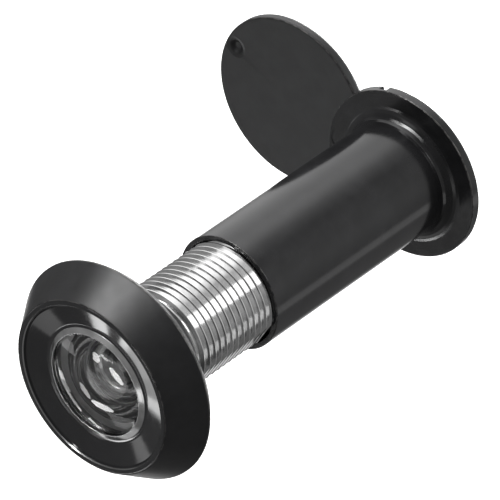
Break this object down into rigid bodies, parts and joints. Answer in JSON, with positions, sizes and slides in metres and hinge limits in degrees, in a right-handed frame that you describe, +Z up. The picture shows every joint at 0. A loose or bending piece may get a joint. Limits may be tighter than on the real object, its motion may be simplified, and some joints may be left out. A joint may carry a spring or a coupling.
{
  "type": "door viewer",
  "caption": "Door viewer: a flared outer head with a wide-angle lens on a threaded barrel, an inner sleeve with a flange and eyepiece, and a round swing cover.",
  "frame": {"origin": "on the barrel's axis, in the plane where the gasket meets the street face of the door", "axes": "+Y along the barrel from the street into the room, +Z up, +X to the right for a person looking from the street"},
  "size_m": [0.0412, 0.0566, 0.0264],
  "materials": {
    "black_head": "satin black baked enamel, glossy in the front dish",
    "black_sleeve": "semi-gloss black baked enamel",
    "black_cover": "satin black baked enamel with a fine texture",
    "bezel": "polished turned ring",
    "nickel": "bright nickel plate over a cut thread",
    "brass_nickel": "turned and plated",
    "washer_steel": "stamped spring steel",
    "black_anodised": "matt black, ribbed against stray light",
    "rubber": "moulded black rubber",
    "lens_glass": "polished optical glass"
  },
  "bodies": {
    "outer_half": {"front_housing": "black_head", "objective_bezel": "bezel", "objective_lens": "lens_glass", "objective_seal": "rubber", "door_gasket": "rubber", "neck_seal": "rubber", "threaded_barrel": "nickel", "second_lens": "lens_glass", "lens_spacer": "black_anodised", "third_lens": "lens_glass", "aperture_stop": "black_anodised", "stack_retainer": "brass_nickel"},
    "eyepiece_cell": {"eyepiece_retainer": "brass_nickel", "eyepiece_lens": "lens_glass", "eyepiece_seat": "rubber"},
    "inner_sleeve": {"rear_sleeve": "black_sleeve", "cover_rivet": "black_sleeve", "cover_washer": "washer_steel", "wave_washer": "washer_steel"},
    "cover": {"cover_disc": "black_cover"}
  },
  "joints": [
    {"name": "sleeve_travel", "type": "slide", "parent": "outer_half", "child": "eyepiece_cell", "axis": [0, 1, 0], "range_m": [-0.0123, 0.0083]},
    {"name": "sleeve_turn", "type": "hinge", "parent": "eyepiece_cell", "child": "inner_sleeve", "pos_m": [0, 0.0319, 0], "axis": [0, 1, 0], "range_deg": [-4620, 3090]},
    {"name": "cover_swing", "type": "hinge", "parent": "inner_sleeve", "child": "cover", "pos_m": [-0.00872, 0.0488, 0.00076], "axis": [0, 1, 0], "range_deg": [-180, 180]}
  ],
  "couplings": [
    {"joint": "sleeve_travel", "follows": "sleeve_turn", "m_per_rad": 0.00014972}
  ]
}
